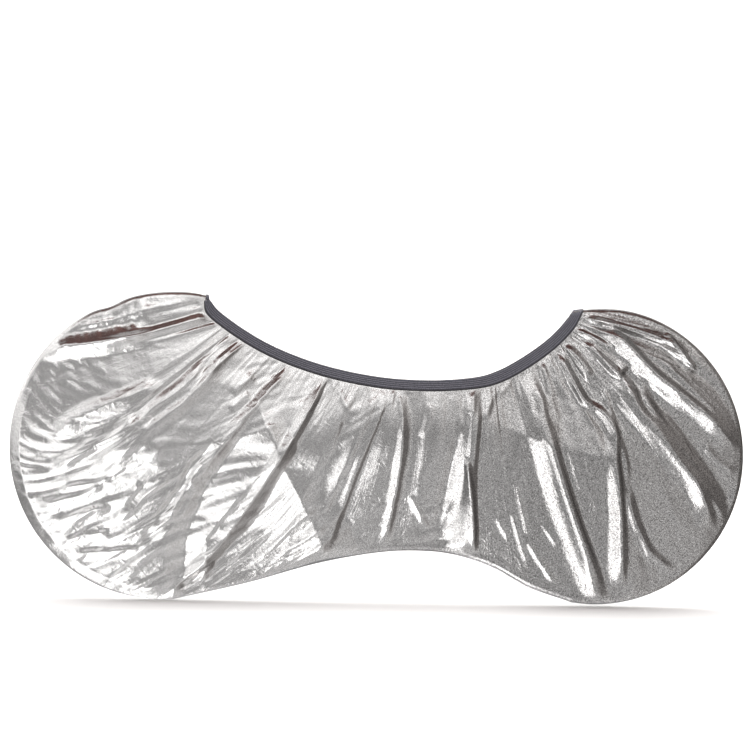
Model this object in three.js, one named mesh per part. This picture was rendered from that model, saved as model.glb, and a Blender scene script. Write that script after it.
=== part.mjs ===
// A dust cover for both wheels and the chain of a bicycle: two panels of metallic-coated cloth, sewn
// together round the outside, and an elastic binding folded over the edge of the mouth at the top.
// Millimetres, +Z up. +X points to the rear wheel, -Y to the near panel, and the floor is z = 0.
import * as THREE from "three";

// Cloth and sewing
const CLOTH = 1.5; // thickness of a panel
const SEWN_GAP = 0.3; // between pieces that are sewn together
const BINDING_WIDTH = 25; // of the tape as it shows, folded in half
const BINDING_TAPE = 1.5; // thickness of one leg of the folded tape

// The lobes that the cover makes over the wheels, in the plane of the seam
const FRONT_LOBE = { x: -495, z: 346.8, radius: 346, from: 75, to: 275 };
const REAR_LOBE = { x: 497, z: 348, radius: 343, from: 261, to: 460.4 };

// Where the cloth stands off its lobe: at an angle in degrees, a rise, and the angle over which it fades
const SLACK = [
  { lobe: FRONT_LOBE, angle: 76, rise: 10, reach: 20 },
  { lobe: FRONT_LOBE, angle: 112, rise: -7, reach: 5 },
  { lobe: REAR_LOBE, angle: 458, rise: -5, reach: 14 },
];

// The bottom edge between the lobes, rising over the chainring
const BOTTOM_EDGE = [
  { x: -462, z: 3 },
  { x: -300, z: 42 },
  { x: -140, z: 89 },
  { x: 0, z: 116 },
  { x: 100, z: 121 },
  { x: 180, z: 112 },
  { x: 257, z: 87 },
  { x: 342, z: 43 },
  { x: 440, z: 11 },
];

// The lower edge of the binding, from the front crown to the rear crown
const RIM = [
  { x: -421, z: 672 },
  { x: -388, z: 632 },
  { x: -284, z: 567 },
  { x: -160, z: 520 },
  { x: -25, z: 493 },
  { x: 100, z: 487 },
  { x: 210, z: 496 },
  { x: 270, z: 513 },
  { x: 332, z: 548 },
  { x: 393, z: 594 },
  { x: 436, z: 641 },
];

// Half widths of the hollow, from the seam's plane to the cloth
const TYRE_HALF = 14; // round the tyre, and at the rim where it crosses a tyre
const LOBE_SLOPE = 0.145; // rise of the cloth from the tyre towards the axle
const MIDDLE_SLOPE = 0.21; // the same over the cranks, where the cover is fullest
const MIDDLE = { x: 60, reach: 260 };
const MOUTH_HALF = 48; // at the widest place of the mouth
const MOUTH = { x: 90, reach: 240 };
const MOUTH_SLOPE = 0.3; // rise of the cloth below the mouth
const SHOULDER = 16; // roundness where the two slopes meet
const LEAST_HALF = 3; // a trough stays this far from the seam's plane

// Folds, from the front crown to the rear crown. A fold starts at the rim (x there), passes its middle
// point and ends at the seam (length from the front end of the mouth). Its heights below the rim, half
// way and above the seam are positive for a ridge and negative for a trough.
const FOLD_COLUMNS = ["rim", "midX", "midZ", "seam", "high", "half", "low"];
const FOLDS = [
  [-424, -558, 655, 316, 2, 3, 3],
  [-414, -579, 606, 382, -7, -9, -9],
  [-397, -590, 588, 413, 4, 5, 5],
  [-381, -592, 555, 486, -2, -3, -3],
  [-372, -602, 462, 625, 2, 7, 5],
  [-364, -600, 432, 692, -2, -3, -4],
  [-358, -588, 414, 753, 2, 5, 5],
  [-351, -562, 418, 795, -7, -8, -5],
  [-343, -538, 416, 844, 5, 5, 4],
  [-334, -513, 414, 880, -5, -4, -3],
  [-318, -487, 408, 929, 4, 6, 4],
  [-280, -452, 350, 989, 0, 1, 1],
  [-227, -403, 336, 1050, -5, -7, -5],
  [-211, -370, 338, 1086, 6, 7, 4],
  [-181, -338, 300, 1135, 1, 2, 2],
  [-151, -299, 264, 1177, -4, -4, -4],
  [-135, -272, 258, 1211, 9, 11, 8],
  [-119, -248, 256, 1243, -6, -9, -8],
  [-89, -220, 260, 1321, 2, 5, 3],
  [-59, -158, 268, 1479, -4, -5, -4],
  [-13, -86, 288, 1534, 5, 6, 4],
  [12, -60, 298, 1557, -6, -7, -5],
  [28, -12, 300, 1620, 1, 2, 1],
  [40, 36, 310, 1691, 4, 5, 4],
  [56, 58, 311, 1715, -4, -5, -4],
  [106, 97, 306, 1770, 2, 1, 1],
  [171, 155, 303, 1817, -5, -5, -4],
  [203, 192, 300, 1880, 6, 7, 5],
  [224, 216, 300, 1911, -6, -7, -5],
  [256, 290, 288, 2069, 1, 1, 1],
  [286, 352, 292, 2177, 1, 2, 1],
  [313, 398, 294, 2224, 8, 10, 7],
  [341, 428, 296, 2253, -8, -9, -6],
  [370, 480, 305, 2276, 4, 3, 2],
  [386, 510, 315, 2300, 5, 5, 4],
  [400, 545, 330, 2370, -6, -6, -4],
  [414, 608, 400, 2523, 5, 8, 6],
  [420, 630, 412, 2546, -4, -6, -5],
  [427, 645, 424, 2587, 4, 7, 5],
  [432, 657, 440, 2628, -5, -7, -6],
  [437, 664, 478, 2699, 0, 1, 1],
  [442, 662, 548, 2769, 6, 8, 6],
  [447, 660, 584, 2851, -5, -6, -4],
  [451, 642, 613, 2969, 3, 5, 4],
  [454, 618, 638, 3057, -2, -3, -3],
  [457, 580, 661, 3127, 2, 3, 3],
].map((row) => Object.fromEntries(FOLD_COLUMNS.map((name, i) => [name, row[i]])));
const CROWN_SEAM = 270; // seam length that the panel's side edge takes at the front crown
const REAR_CROWN_SEAM = 180; // and at the rear crown
const FOLD_START = 55; // below the binding, the length over which the folds rise
const FOLD_END = 45; // above the seam, the length over which they die out

// Mesh steps
const FEWEST_STEPS = 2; // between two folds
const SEAM_STEP = 44; // longest step along the seam
const STEPS_AT_CROWN = [0, 0.05, 0.18, 0.5]; // finer, where the cloth turns round the tyre
const DOWN_STEPS = [0.1, 0.2, 0.32, 0.44, 0.56, 0.68, 0.8, 0.9];
const TURN_STEPS = [14, 4, 0]; // distances from the seam, where the cloth turns round the tyre
const ARC_STEP = 2; // degrees
const CURVE_STEPS = 120;

const flat = (x, z) => new THREE.Vector2(x, z);
const mix = THREE.MathUtils.lerp;
const smooth = (x) => THREE.MathUtils.smoothstep(x, 0, 1);
const bell = (x, { x: middle, reach }) => Math.exp(-(((x - middle) / reach) ** 2));

// The seam and the rim, as polylines in the plane of the seam

function lobeArc(lobe) {
  const points = [];
  for (let angle = lobe.from; angle <= lobe.to; angle += ARC_STEP) {
    const rises = SLACK.filter((s) => s.lobe === lobe);
    const slack = rises.reduce((sum, s) => sum + s.rise * bell(angle, { x: s.angle, reach: s.reach }), 0);
    const radius = lobe.radius + slack;
    const turn = THREE.MathUtils.degToRad(angle);
    points.push(flat(lobe.x + radius * Math.cos(turn), lobe.z + radius * Math.sin(turn)));
  }
  return points;
}

function curveThrough(points) {
  const spline = new THREE.SplineCurve(points.map((p) => flat(p.x, p.z ?? p.y)));
  return spline.getSpacedPoints(CURVE_STEPS);
}

class Line {
  constructor(points) {
    this.points = points;
    this.lengths = [0];
    for (let i = 1; i < points.length; i++) {
      this.lengths.push(this.lengths[i - 1] + points[i].distanceTo(points[i - 1]));
    }
    this.length = this.lengths.at(-1);
  }

  // The point where a rising measure, such as the length or x, has a value.
  find(measures, value) {
    const last = measures.length - 2;
    let i = measures.findIndex((m, k) => k > 0 && m >= value) - 1;
    if (i < 0) i = value <= measures[0] ? 0 : last;
    const part = (value - measures[i]) / (measures[i + 1] - measures[i]);
    return this.points[i].clone().lerp(this.points[i + 1], part);
  }

  at(length) {
    return this.find(this.lengths, length);
  }

  atX(x) {
    return this.find(this.points.map((p) => p.x), x);
  }

  // Unit normal to the left of the way along the line.
  leftAt(length) {
    const step = 2;
    const along = this.at(Math.min(length + step, this.length)).sub(this.at(Math.max(length - step, 0)));
    return flat(-along.y, along.x).normalize();
  }

  distance(point) {
    let least = Infinity;
    for (let i = 1; i < this.points.length; i++) {
      const start = this.points[i - 1];
      const way = this.points[i].clone().sub(start);
      const part = THREE.MathUtils.clamp(point.clone().sub(start).dot(way) / way.lengthSq(), 0, 1);
      least = Math.min(least, start.clone().addScaledVector(way, part).distanceTo(point));
    }
    return least;
  }
}

const seam = new Line([
  ...lobeArc(FRONT_LOBE),
  ...curveThrough(BOTTOM_EDGE).slice(1, -1),
  ...lobeArc(REAR_LOBE),
]);
const frontCrown = seam.at(BINDING_WIDTH);
const rearCrown = seam.at(seam.length - BINDING_WIDTH);
const rim = new Line(curveThrough([frontCrown, ...RIM, rearCrown]));

// The fold over the top of the binding, across from a place on its lower edge. At both crowns it turns
// to lie along the seam.
function mouthEdge(x) {
  const low = rim.atX(x);
  const along = rim.atX(x + 1).sub(rim.atX(x - 1));
  const up = low.clone().addScaledVector(flat(-along.y, along.x).normalize(), BINDING_WIDTH);
  for (const [crown, end] of [
    [frontCrown, seam.at(0)],
    [rearCrown, seam.at(seam.length)],
  ]) {
    const inward = crown === frontCrown ? 1 : -1;
    const way = rim.atX(crown.x + inward).sub(rim.atX(crown.x)).multiplyScalar(inward);
    const plain = crown.clone().addScaledVector(flat(-way.y, way.x).normalize(), BINDING_WIDTH);
    const share = Math.exp(-((low.distanceTo(crown) / BINDING_WIDTH) ** 2));
    up.addScaledVector(end.clone().sub(plain), share);
  }
  return up;
}

// Fullness of the hollow: a soft least of the slope up from the tyre and the slope down from the mouth,
// where below is the distance below the rim, negative inside the binding
function halfWidth(point, below) {
  const inside = seam.distance(point);
  if (inside < 0.01) return 0;
  const slope = mix(LOBE_SLOPE, MIDDLE_SLOPE, bell(point.x, MIDDLE));
  const turn = Math.min(inside, TYRE_HALF);
  const fromTyre =
    Math.sqrt(TYRE_HALF ** 2 - (TYRE_HALF - turn) ** 2) + slope * Math.max(0, inside - TYRE_HALF);
  const fromMouth = mix(TYRE_HALF, MOUTH_HALF, bell(point.x, MOUTH)) + MOUTH_SLOPE * below;
  const share = THREE.MathUtils.clamp(0.5 + (0.5 * (fromMouth - fromTyre)) / SHOULDER, 0, 1);
  return mix(fromMouth, fromTyre, share) - SHOULDER * share * (1 - share);
}

// One fold's line at a share of the way down, through its three points
function foldLine(fold, down) {
  if (fold.side) return seam.at(mix(fold.start, fold.seam, down));
  const start = rim.atX(fold.rim);
  const end = seam.at(fold.seam);
  return flat(0, 0)
    .addScaledVector(start, (1 - down) * (1 - 2 * down))
    .addScaledVector(flat(fold.midX, fold.midZ), 4 * down * (1 - down))
    .addScaledVector(end, down * (2 * down - 1));
}

function foldHeight(fold, down) {
  return down < 0.5 ? mix(fold.high, fold.half, 2 * down) : mix(fold.half, fold.low, 2 * down - 1);
}

// The lines across which a panel is built: every fold, the steps between folds, and the two side edges,
// which run along the seam at the crowns. They follow the way round the mouth, so the far ones come back.
const EDGES = [
  { side: true, rim: frontCrown.x, start: BINDING_WIDTH, seam: CROWN_SEAM },
  { side: true, rim: rearCrown.x, start: seam.length - BINDING_WIDTH, seam: seam.length - REAR_CROWN_SEAM },
].map((edge) => ({ ...edge, high: 0, half: 0, low: 0 }));

function panelLines(folds, side) {
  const rows = [EDGES[0], ...folds, EDGES[1]];
  const lines = [];
  for (let i = 0; i + 1 < rows.length; i++) {
    const steps = Math.max(FEWEST_STEPS, Math.ceil((rows[i + 1].seam - rows[i].seam) / SEAM_STEP));
    let parts = Array.from({ length: steps }, (_, k) => k / steps);
    if (i === 0) parts = STEPS_AT_CROWN;
    if (i + 2 === rows.length) parts = [0, ...STEPS_AT_CROWN.slice(1).map((p) => 1 - p).reverse()];
    lines.push(...parts.map((part) => ({ a: rows[i], b: rows[i + 1], part })));
  }
  lines.push({ a: rows.at(-2), b: rows.at(-1), part: 1 });
  return side > 0 ? lines.reverse() : lines;
}

// A line between two folds. Its end is drawn out to the seam, which is round there.
function linePoint({ a, b, part }, down) {
  const between = (share) => foldLine(a, share).lerp(foldLine(b, share), part);
  const drawn = seam.at(mix(a.seam, b.seam, part)).sub(between(1));
  return between(down).addScaledVector(drawn, down ** 2);
}

const lineRim = ({ a, b, part }) => mix(a.rim, b.rim, part);
const lineHeight = ({ a, b, part }, down) => mix(foldHeight(a, down), foldHeight(b, down), smooth(part));
const lineOnSeam = ({ a, b, part }) => (part === 0 && a.side) || (part === 1 && b.side);

// One line of a panel below the binding, as points of the cloth's middle down to the seam
function clothPoints(line, side) {
  const length = linePoint(line, 0).distanceTo(linePoint(line, 1));
  const downs = [...DOWN_STEPS, ...TURN_STEPS.map((distance) => 1 - distance / length)];
  return downs.map((down) => {
    const p = linePoint(line, down);
    if (lineOnSeam(line) || down === 1) return new THREE.Vector3(p.x, (side * SEWN_GAP) / 2, p.y);
    const below = rim.distance(p);
    const rise = smooth(below / FOLD_START) * smooth(seam.distance(p) / FOLD_END);
    const base = halfWidth(p, below);
    const folded = base + rise * lineHeight(line, down);
    return new THREE.Vector3(p.x, side * Math.max(folded, Math.min(base, LEAST_HALF), SEWN_GAP), p.y);
  });
}

// Outward normal of the seam at a point of it
function seamNormal(point) {
  const here = flat(point.x, point.z);
  const nearest = seam.points.reduce(
    (best, p, i) => (p.distanceTo(here) < seam.points[best].distanceTo(here) ? i : best),
    0,
  );
  const left = seam.leftAt(seam.lengths[nearest]);
  return new THREE.Vector3(-left.x, 0, -left.y);
}

// Outward normals of a grid of points
function gridNormals(grid) {
  const last = (list) => list.length - 1;
  return grid.map((column, i) =>
    column.map((point, j) => {
      if (i === 0 || i === last(grid) || j === last(column)) return seamNormal(point);
      const across = grid[i + 1][j].clone().sub(grid[i - 1][j]);
      const down = column[j + 1].clone().sub(column[Math.max(j - 1, 0)]);
      return down.cross(across).normalize();
    }),
  );
}

// A closed solid from rings of points, each ring a closed section. The sides of the section that rise are
// split along the other diagonal, so that both faces of a sheet bend alike. The first ring follows the
// last when the solid is a loop, and otherwise caps close both ends.
function solidFromRings(rings, { loop, turned, rises, caps = [] }) {
  const size = rings[0].length;
  const index = [];
  const face = (a, b, c) => index.push(...(turned ? [a, c, b] : [a, b, c]));
  const bands = loop ? rings.length : rings.length - 1;
  for (let i = 0; i < bands; i++) {
    const next = (i + 1) % rings.length;
    for (let k = 0; k < size; k++) {
      const k1 = (k + 1) % size;
      const [here, onward] = [i * size + k, next * size + k];
      const [above, beyond] = [i * size + k1, next * size + k1];
      face(here, onward, rises(k) ? above : beyond);
      face(rises(k) ? onward : here, beyond, above);
    }
  }
  for (const [a, b, c] of caps) {
    face(a, b, c);
    const end = (rings.length - 1) * size;
    face(end + a, end + c, end + b);
  }
  const geometry = new THREE.BufferGeometry();
  const positions = rings.flat().flatMap((p) => [p.x, p.y, p.z]);
  geometry.setAttribute("position", new THREE.Float32BufferAttribute(positions, 3));
  geometry.setIndex(index);
  geometry.computeVertexNormals();
  return geometry;
}

// The places of the binding and of the cloth inside it, for each line of a panel: the fold at its top,
// the way down, and the outward normal, which the cloth and the tape share.
function bindingFrames(lines, side) {
  const places = lines.map((line) => {
    const start = lineRim(line);
    const onSeam = lineOnSeam(line);
    const lift = (p, below) => {
      const half = onSeam ? 0 : Math.max(halfWidth(p, below), SEWN_GAP);
      return new THREE.Vector3(p.x, side * half, p.y);
    };
    return { top: lift(mouthEdge(start), -BINDING_WIDTH), low: lift(rim.atX(start), 0), onSeam };
  });
  return places.map(({ top, low, onSeam }, i) => {
    const down = low.clone().sub(top).divideScalar(BINDING_WIDTH);
    if (onSeam) return { top, down, onSeam, normal: seamNormal(top.clone().lerp(low, 0.5)) };
    const along = places[i + 1].top.clone().sub(places[i - 1].top);
    return { top, down, onSeam, normal: down.clone().cross(along).normalize() };
  });
}

// The cloth that lies inside the binding, from its raw edge to the binding's lower edge
function boundPoints({ top, down, onSeam }, side) {
  return [BINDING_TAPE + SEWN_GAP, BINDING_WIDTH].map((depth) => {
    const p = top.clone().addScaledVector(down, depth);
    return onSeam ? p.setY((side * SEWN_GAP) / 2) : p;
  });
}

function panel(folds, side) {
  const lines = panelLines(folds, side);
  const frames = bindingFrames(lines, side);
  const grid = lines.map((line, i) => [...boundPoints(frames[i], side), ...clothPoints(line, side)]);
  const normals = gridNormals(grid);
  frames.forEach(({ normal }, i) => [0, 1].forEach((j) => normals[i][j].copy(normal)));
  const offset = (i, j, distance) => grid[i][j].clone().addScaledVector(normals[i][j], distance);
  const rings = grid.map((column, i) => [
    ...column.map((_, j) => offset(i, j, CLOTH / 2)),
    ...column.map((_, j) => offset(i, j, -CLOTH / 2)).reverse(),
  ]);
  const rows = grid[0].length;
  const caps = [];
  for (let j = 0; j + 1 < rows; j++) {
    const facing = 2 * rows - 1 - j;
    caps.push([j, j + 1, facing - 1], [j, facing - 1, facing]);
  }
  return solidFromRings(rings, { loop: false, turned: true, rises: (k) => k >= rows, caps });
}

// The folded tape: a section with two legs and a slot, carried round the mouth
function binding(folds) {
  const slot = CLOTH / 2 + SEWN_GAP;
  const outer = slot + BINDING_TAPE;
  const SECTION = [
    [BINDING_WIDTH, outer],
    [0, outer],
    [0, -outer],
    [BINDING_WIDTH, -outer],
    [BINDING_WIDTH, -slot],
    [BINDING_TAPE, -slot],
    [BINDING_TAPE, slot],
    [BINDING_WIDTH, slot],
  ];
  const near = bindingFrames(panelLines(folds, -1), -1);
  const far = bindingFrames(panelLines(folds, 1), 1).slice(1, -1);
  const rings = [...near, ...far].map(({ top, down, normal }) =>
    SECTION.map(([depth, out]) => top.clone().addScaledVector(down, depth).addScaledVector(normal, out)),
  );
  const rises = (k) => SECTION[(k + 1) % SECTION.length][0] < SECTION[k][0];
  return solidFromRings(rings, { loop: true, turned: false, rises });
}

// The far panel has the same cut, and its folds take their heights from the other end of the list.
const FAR_FOLDS = FOLDS.map((fold, i) => {
  const { high, half, low } = FOLDS[FOLDS.length - 1 - i];
  return { ...fold, high, half, low };
});

function piece(name, geometry, color, roughness, metalness) {
  const mesh = new THREE.Mesh(geometry, new THREE.MeshStandardMaterial({ color, roughness, metalness }));
  mesh.name = name;
  return mesh;
}

const cover = new THREE.Group();
cover.add(piece("panel_near", panel(FOLDS, -1), 0xbdb9b6, 0.32, 0.9));
cover.add(piece("panel_far", panel(FAR_FOLDS, 1), 0xbdb9b6, 0.32, 0.9));
cover.add(piece("mouth_binding", binding(FOLDS), 0x4c4b53, 0.85, 0));

export default cover;
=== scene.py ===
"""Bicycle wheel cover: creased metallic cloth panels, a ribbed elastic binding and its stitching."""
import logging
import math
from dataclasses import dataclass
from enum import Enum

import bpy
import numpy as np
from bpy.types import Material, Mesh, Node, NodeSocket, NodeTree, Object
from mathutils import Matrix, Vector


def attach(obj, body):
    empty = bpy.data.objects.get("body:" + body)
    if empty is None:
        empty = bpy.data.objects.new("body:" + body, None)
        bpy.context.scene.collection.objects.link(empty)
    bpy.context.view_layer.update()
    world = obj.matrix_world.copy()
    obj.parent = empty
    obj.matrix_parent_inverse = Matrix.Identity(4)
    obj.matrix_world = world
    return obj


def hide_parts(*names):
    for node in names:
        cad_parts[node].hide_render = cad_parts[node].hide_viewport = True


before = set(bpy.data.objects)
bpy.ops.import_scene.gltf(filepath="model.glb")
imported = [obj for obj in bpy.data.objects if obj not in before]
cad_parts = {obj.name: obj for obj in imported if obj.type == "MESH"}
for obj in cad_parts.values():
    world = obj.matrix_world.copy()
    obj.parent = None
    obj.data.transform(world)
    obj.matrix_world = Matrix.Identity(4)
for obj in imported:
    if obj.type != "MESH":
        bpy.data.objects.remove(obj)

LOG = logging.getLogger("wheel_cover")
BODY = "root"

Array = np.ndarray
Point = tuple[float, float]
Place = tuple[float, float, float]
Tone = float | Place
Ramp = tuple[tuple[float, Tone], ...]


class Side(Enum):
    """The side of the seam's plane that a piece lies on, as the sign of y."""

    NEAR = -1
    FAR = 1


def linear(hex_colour: str) -> tuple[float, float, float, float]:
    """Turns an sRGB hex colour into linear light.

    Args:
        hex_colour: Colour such as "#c0ffee".

    Returns:
        Red, green, blue and alpha.
    """
    parts = [int(hex_colour[i : i + 2], 16) / 255 for i in (1, 3, 5)]
    return (*[p / 12.92 if p <= 0.04045 else ((p + 0.055) / 1.055) ** 2.4 for p in parts], 1.0)


def add_node(
    tree: NodeTree, kind: str, inputs: dict[str | int, object] | None = None, **settings: object
) -> Node:
    """Adds a node with its settings, socket values and links.

    Args:
        tree: Node tree that gets the node.
        kind: The node's type name.
        inputs: For each input, by name or number, a value, the output socket that feeds it, or a node
            whose first output feeds it.
        settings: Values of the node's own properties.

    Returns:
        The new node.
    """
    node = tree.nodes.new(kind)
    for name, value in settings.items():
        setattr(node, name, value)
    for key, value in (inputs or {}).items():
        if isinstance(value, Node):
            value = value.outputs[0]
        if isinstance(value, NodeSocket):
            tree.links.new(value, node.inputs[key])
        else:
            node.inputs[key].default_value = value
    return node


def fill_ramp(node: Node, stops: Ramp) -> None:
    """Gives a colour ramp its stops.

    Args:
        node: The ramp's node.
        stops: For each stop its place, from 0 to 1, and its grey or colour.
    """
    elements = node.color_ramp.elements
    while len(elements) < len(stops):
        elements.new(1.0)
    for element, (place, tone) in zip(elements, stops):
        element.position = place
        element.color = (*(tone if isinstance(tone, tuple) else (tone, tone, tone)), 1.0)


def new_material(name: str) -> tuple[Material, NodeTree, Node]:
    """Makes a material.

    Args:
        name: What the real material is called.

    Returns:
        The material, its node tree and its shader.
    """
    material = bpy.data.materials.new(name)
    material.use_nodes = True
    return material, material.node_tree, material.node_tree.nodes["Principled BSDF"]


def link(mesh: Mesh) -> Object:
    """Puts a mesh into the scene.

    Args:
        mesh: The mesh, with its place in its points.

    Returns:
        An object of the same name, at the origin.
    """
    piece = bpy.data.objects.new(mesh.name, mesh)
    bpy.context.collection.objects.link(piece)
    return piece


def open_tree(
    name: str, values: dict[str, float | int]
) -> tuple[NodeTree, bpy.types.bpy_prop_collection]:
    """Starts a geometry node tree.

    Args:
        name: The tree's name.
        values: Its inputs by name, beside the geometry.

    Returns:
        The tree and the sockets that give its inputs.
    """
    tree = bpy.data.node_groups.new(name, "GeometryNodeTree")
    tree.interface.new_socket("Geometry", in_out="INPUT", socket_type="NodeSocketGeometry")
    for key, value in values.items():
        kind = "NodeSocketInt" if isinstance(value, int) else "NodeSocketFloat"
        tree.interface.new_socket(key, in_out="INPUT", socket_type=kind)
    tree.interface.new_socket("Geometry", in_out="OUTPUT", socket_type="NodeSocketGeometry")
    return tree, add_node(tree, "NodeGroupInput").outputs


def close_tree(tree: NodeTree, shape: Node, finish: Material) -> None:
    """Ends a geometry node tree with real geometry in its material.

    Args:
        tree: The tree.
        shape: The node that gives the geometry.
        finish: The material.
    """
    whole = add_node(tree, "GeometryNodeRealizeInstances", {0: shape})
    dressed = add_node(tree, "GeometryNodeSetMaterial", {"Geometry": whole, "Material": finish})
    add_node(tree, "NodeGroupOutput", {0: dressed})


def run_nodes(
    piece: Object, tree: NodeTree, values: dict[str, float | int]
) -> Object:
    """Runs a node tree on a piece and keeps the result as a plain mesh.

    Args:
        piece: The object.
        tree: Geometry node tree.
        values: Its inputs by name.

    Returns:
        The object, with no modifier left.
    """
    modifier = piece.modifiers.new(tree.name, "NODES")
    modifier.node_group = tree
    for item in tree.interface.items_tree:
        if item.in_out == "INPUT" and item.name in values:
            modifier[item.identifier] = values[item.name]
    piece.update_tag()
    seen = piece.evaluated_get(bpy.context.evaluated_depsgraph_get())
    made = bpy.data.meshes.new_from_object(seen)
    made.name = piece.name
    piece.modifiers.remove(modifier)
    piece.data = made
    return piece


def smooth_step(x: Array) -> Array:
    """Rises smoothly from 0 to 1 as x does."""
    x = np.clip(x, 0, 1)
    return x * x * (3 - 2 * x)


def bell(x: Array, middle: float, reach: float) -> Array:
    """A soft bump of height 1."""
    return np.exp(-(((x - middle) / reach) ** 2))


def mix(a: Array, b: Array, share: Array) -> Array:
    """Goes from a to b as share goes from 0 to 1."""
    return a + (b - a) * share


def run_lengths(points: Array) -> Array:
    """Lengths along a polyline at its points, from 0."""
    return np.concatenate([[0.0], np.cumsum(np.linalg.norm(np.diff(points, axis=0), axis=1))])


def stand_off(plane: Array, half: Array, side: Side) -> Array:
    """Points that stand by half out of the seam's plane, on one side."""
    return np.stack([plane[..., 0], side.value * half, plane[..., 1]], -1)


class Line:
    """A polyline in the plane of the seam, as (x, z) points."""

    chunk = 4000

    def __init__(self, points: Array) -> None:
        """Measures the line.

        Args:
            points: The line's points, in order.
        """
        self.points = np.asarray(points, float)
        self.lengths = run_lengths(self.points)
        self.length = float(self.lengths[-1])

    @classmethod
    def through(cls, points: tuple[Point, ...], steps: int = 10) -> "Line":
        """Makes a smooth curve.

        Args:
            points: Points that the curve passes.
            steps: Straight pieces between two of them.

        Returns:
            The curve as a polyline.
        """
        p = np.asarray([points[0], *points, points[-1]], float)
        t = np.linspace(0, 1, steps, endpoint=False)[:, None]
        out = []
        for a, b, c, d in zip(p, p[1:], p[2:], p[3:]):
            go, come = (c - a) / 2, (d - b) / 2
            curve = (2 * (b - c) + go + come) * t**3 + (3 * (c - b) - 2 * go - come) * t**2 + go * t + b
            out.append(curve)
        return cls(np.concatenate([*out, p[-1:]]))

    def at(self, lengths: Array) -> Array:
        """Points at these lengths along the line."""
        return np.stack([np.interp(lengths, self.lengths, self.points[:, k]) for k in (0, 1)], -1)

    def at_x(self, x: Array) -> Array:
        """Points at these values of x, which rises along the line."""
        return np.stack([x, np.interp(x, self.points[:, 0], self.points[:, 1])], -1)

    def nearest(self, points: Array) -> tuple[Array, Array, Array]:
        """Finds the nearest place on the line for each point.

        Args:
            points: Any array of (x, z) points.

        Returns:
            The distances, the sides (above 0 on the left of the way) and the lengths along the line.
        """
        flat = points.reshape(-1, 2)
        start, way = self.points[:-1], np.diff(self.points, axis=0)
        squares = (way**2).sum(1)
        out = np.empty((3, len(flat)))
        for i in range(0, len(flat), self.chunk):
            apart = flat[i : i + self.chunk, None] - start
            share = np.clip((apart * way).sum(2) / squares, 0, 1)
            off = apart - share[..., None] * way
            distance = np.linalg.norm(off, axis=2)
            row, pick = np.arange(len(apart)), distance.argmin(1)
            side = way[pick, 0] * off[row, pick, 1] - way[pick, 1] * off[row, pick, 0]
            along = self.lengths[pick] + share[row, pick] * np.sqrt(squares[pick])
            out[:, i : i + self.chunk] = distance[row, pick], side, along
        return tuple(out.reshape(3, *points.shape[:-1]))

    def distance(self, points: Array) -> Array:
        """How far points lie from the line."""
        return self.nearest(points)[0]


@dataclass(frozen=True)
class Lobe:
    """The round of the cover over one wheel, in metres and degrees.

    Each row of slack is an angle, the cloth's rise off the round there, and its reach in degrees.
    """

    x: float
    z: float
    radius: float
    start: float
    end: float
    slack: tuple[Place, ...]
    step: float = 2.0

    def arc(self) -> Array:
        """Draws the lobe's edge.

        Returns:
            Points from the start angle to the end angle.
        """
        angle = np.arange(self.start, self.end + self.step / 2, self.step)
        radius = self.radius + sum(rise * bell(angle, at, reach) for at, rise, reach in self.slack)
        turn = np.radians(angle)
        return np.stack([self.x + radius * np.cos(turn), self.z + radius * np.sin(turn)], -1)


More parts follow.
